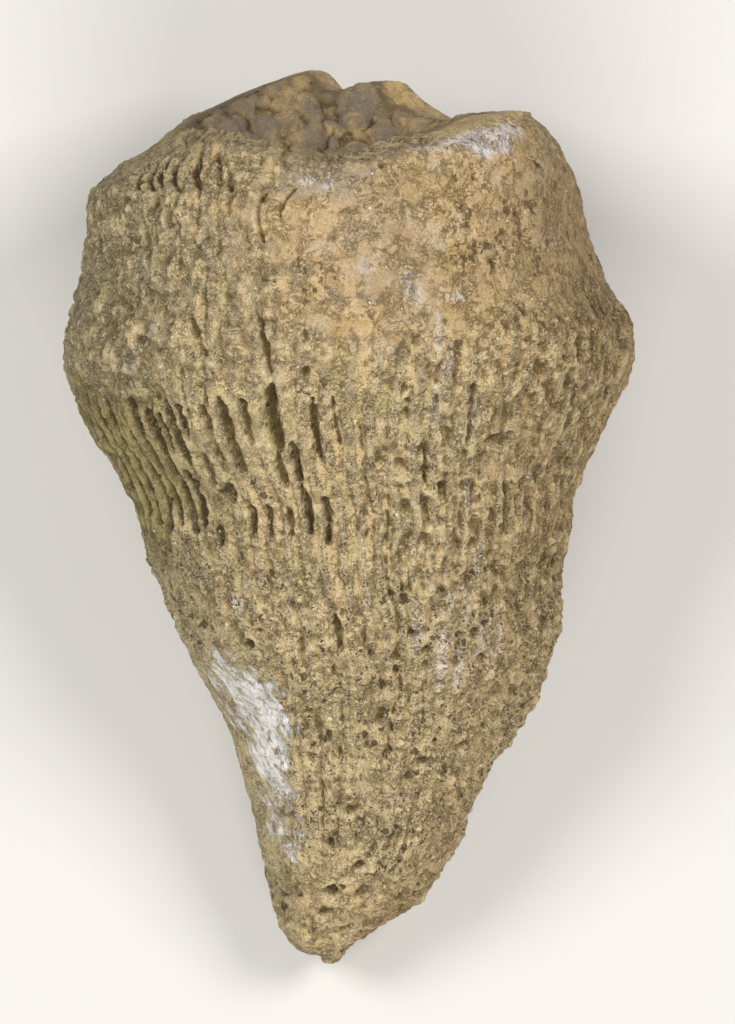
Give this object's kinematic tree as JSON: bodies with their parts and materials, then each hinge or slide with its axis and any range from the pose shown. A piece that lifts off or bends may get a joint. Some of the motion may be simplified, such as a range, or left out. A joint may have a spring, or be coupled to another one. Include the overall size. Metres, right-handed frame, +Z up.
{
  "type": "fossil horn coral",
  "caption": "Fossil horn coral lying on its side: a ribbed, pitted limestone cone with a worn blunt tip, a swollen waist and a shallow broken cup.",
  "frame": {"origin": "middle of the footprint, on the surface the fossil lies on", "axes": "+Y from the tip towards the cup, +X across to the right when looking down with the cup at the top, +Z up"},
  "size_m": [0.0427, 0.0669, 0.04],
  "materials": {
    "coral_stone": "dull, weathered, chalky in one patch"
  },
  "bodies": {
    "root": {"horn_coral": "coral_stone"}
  },
  "joints": []
}
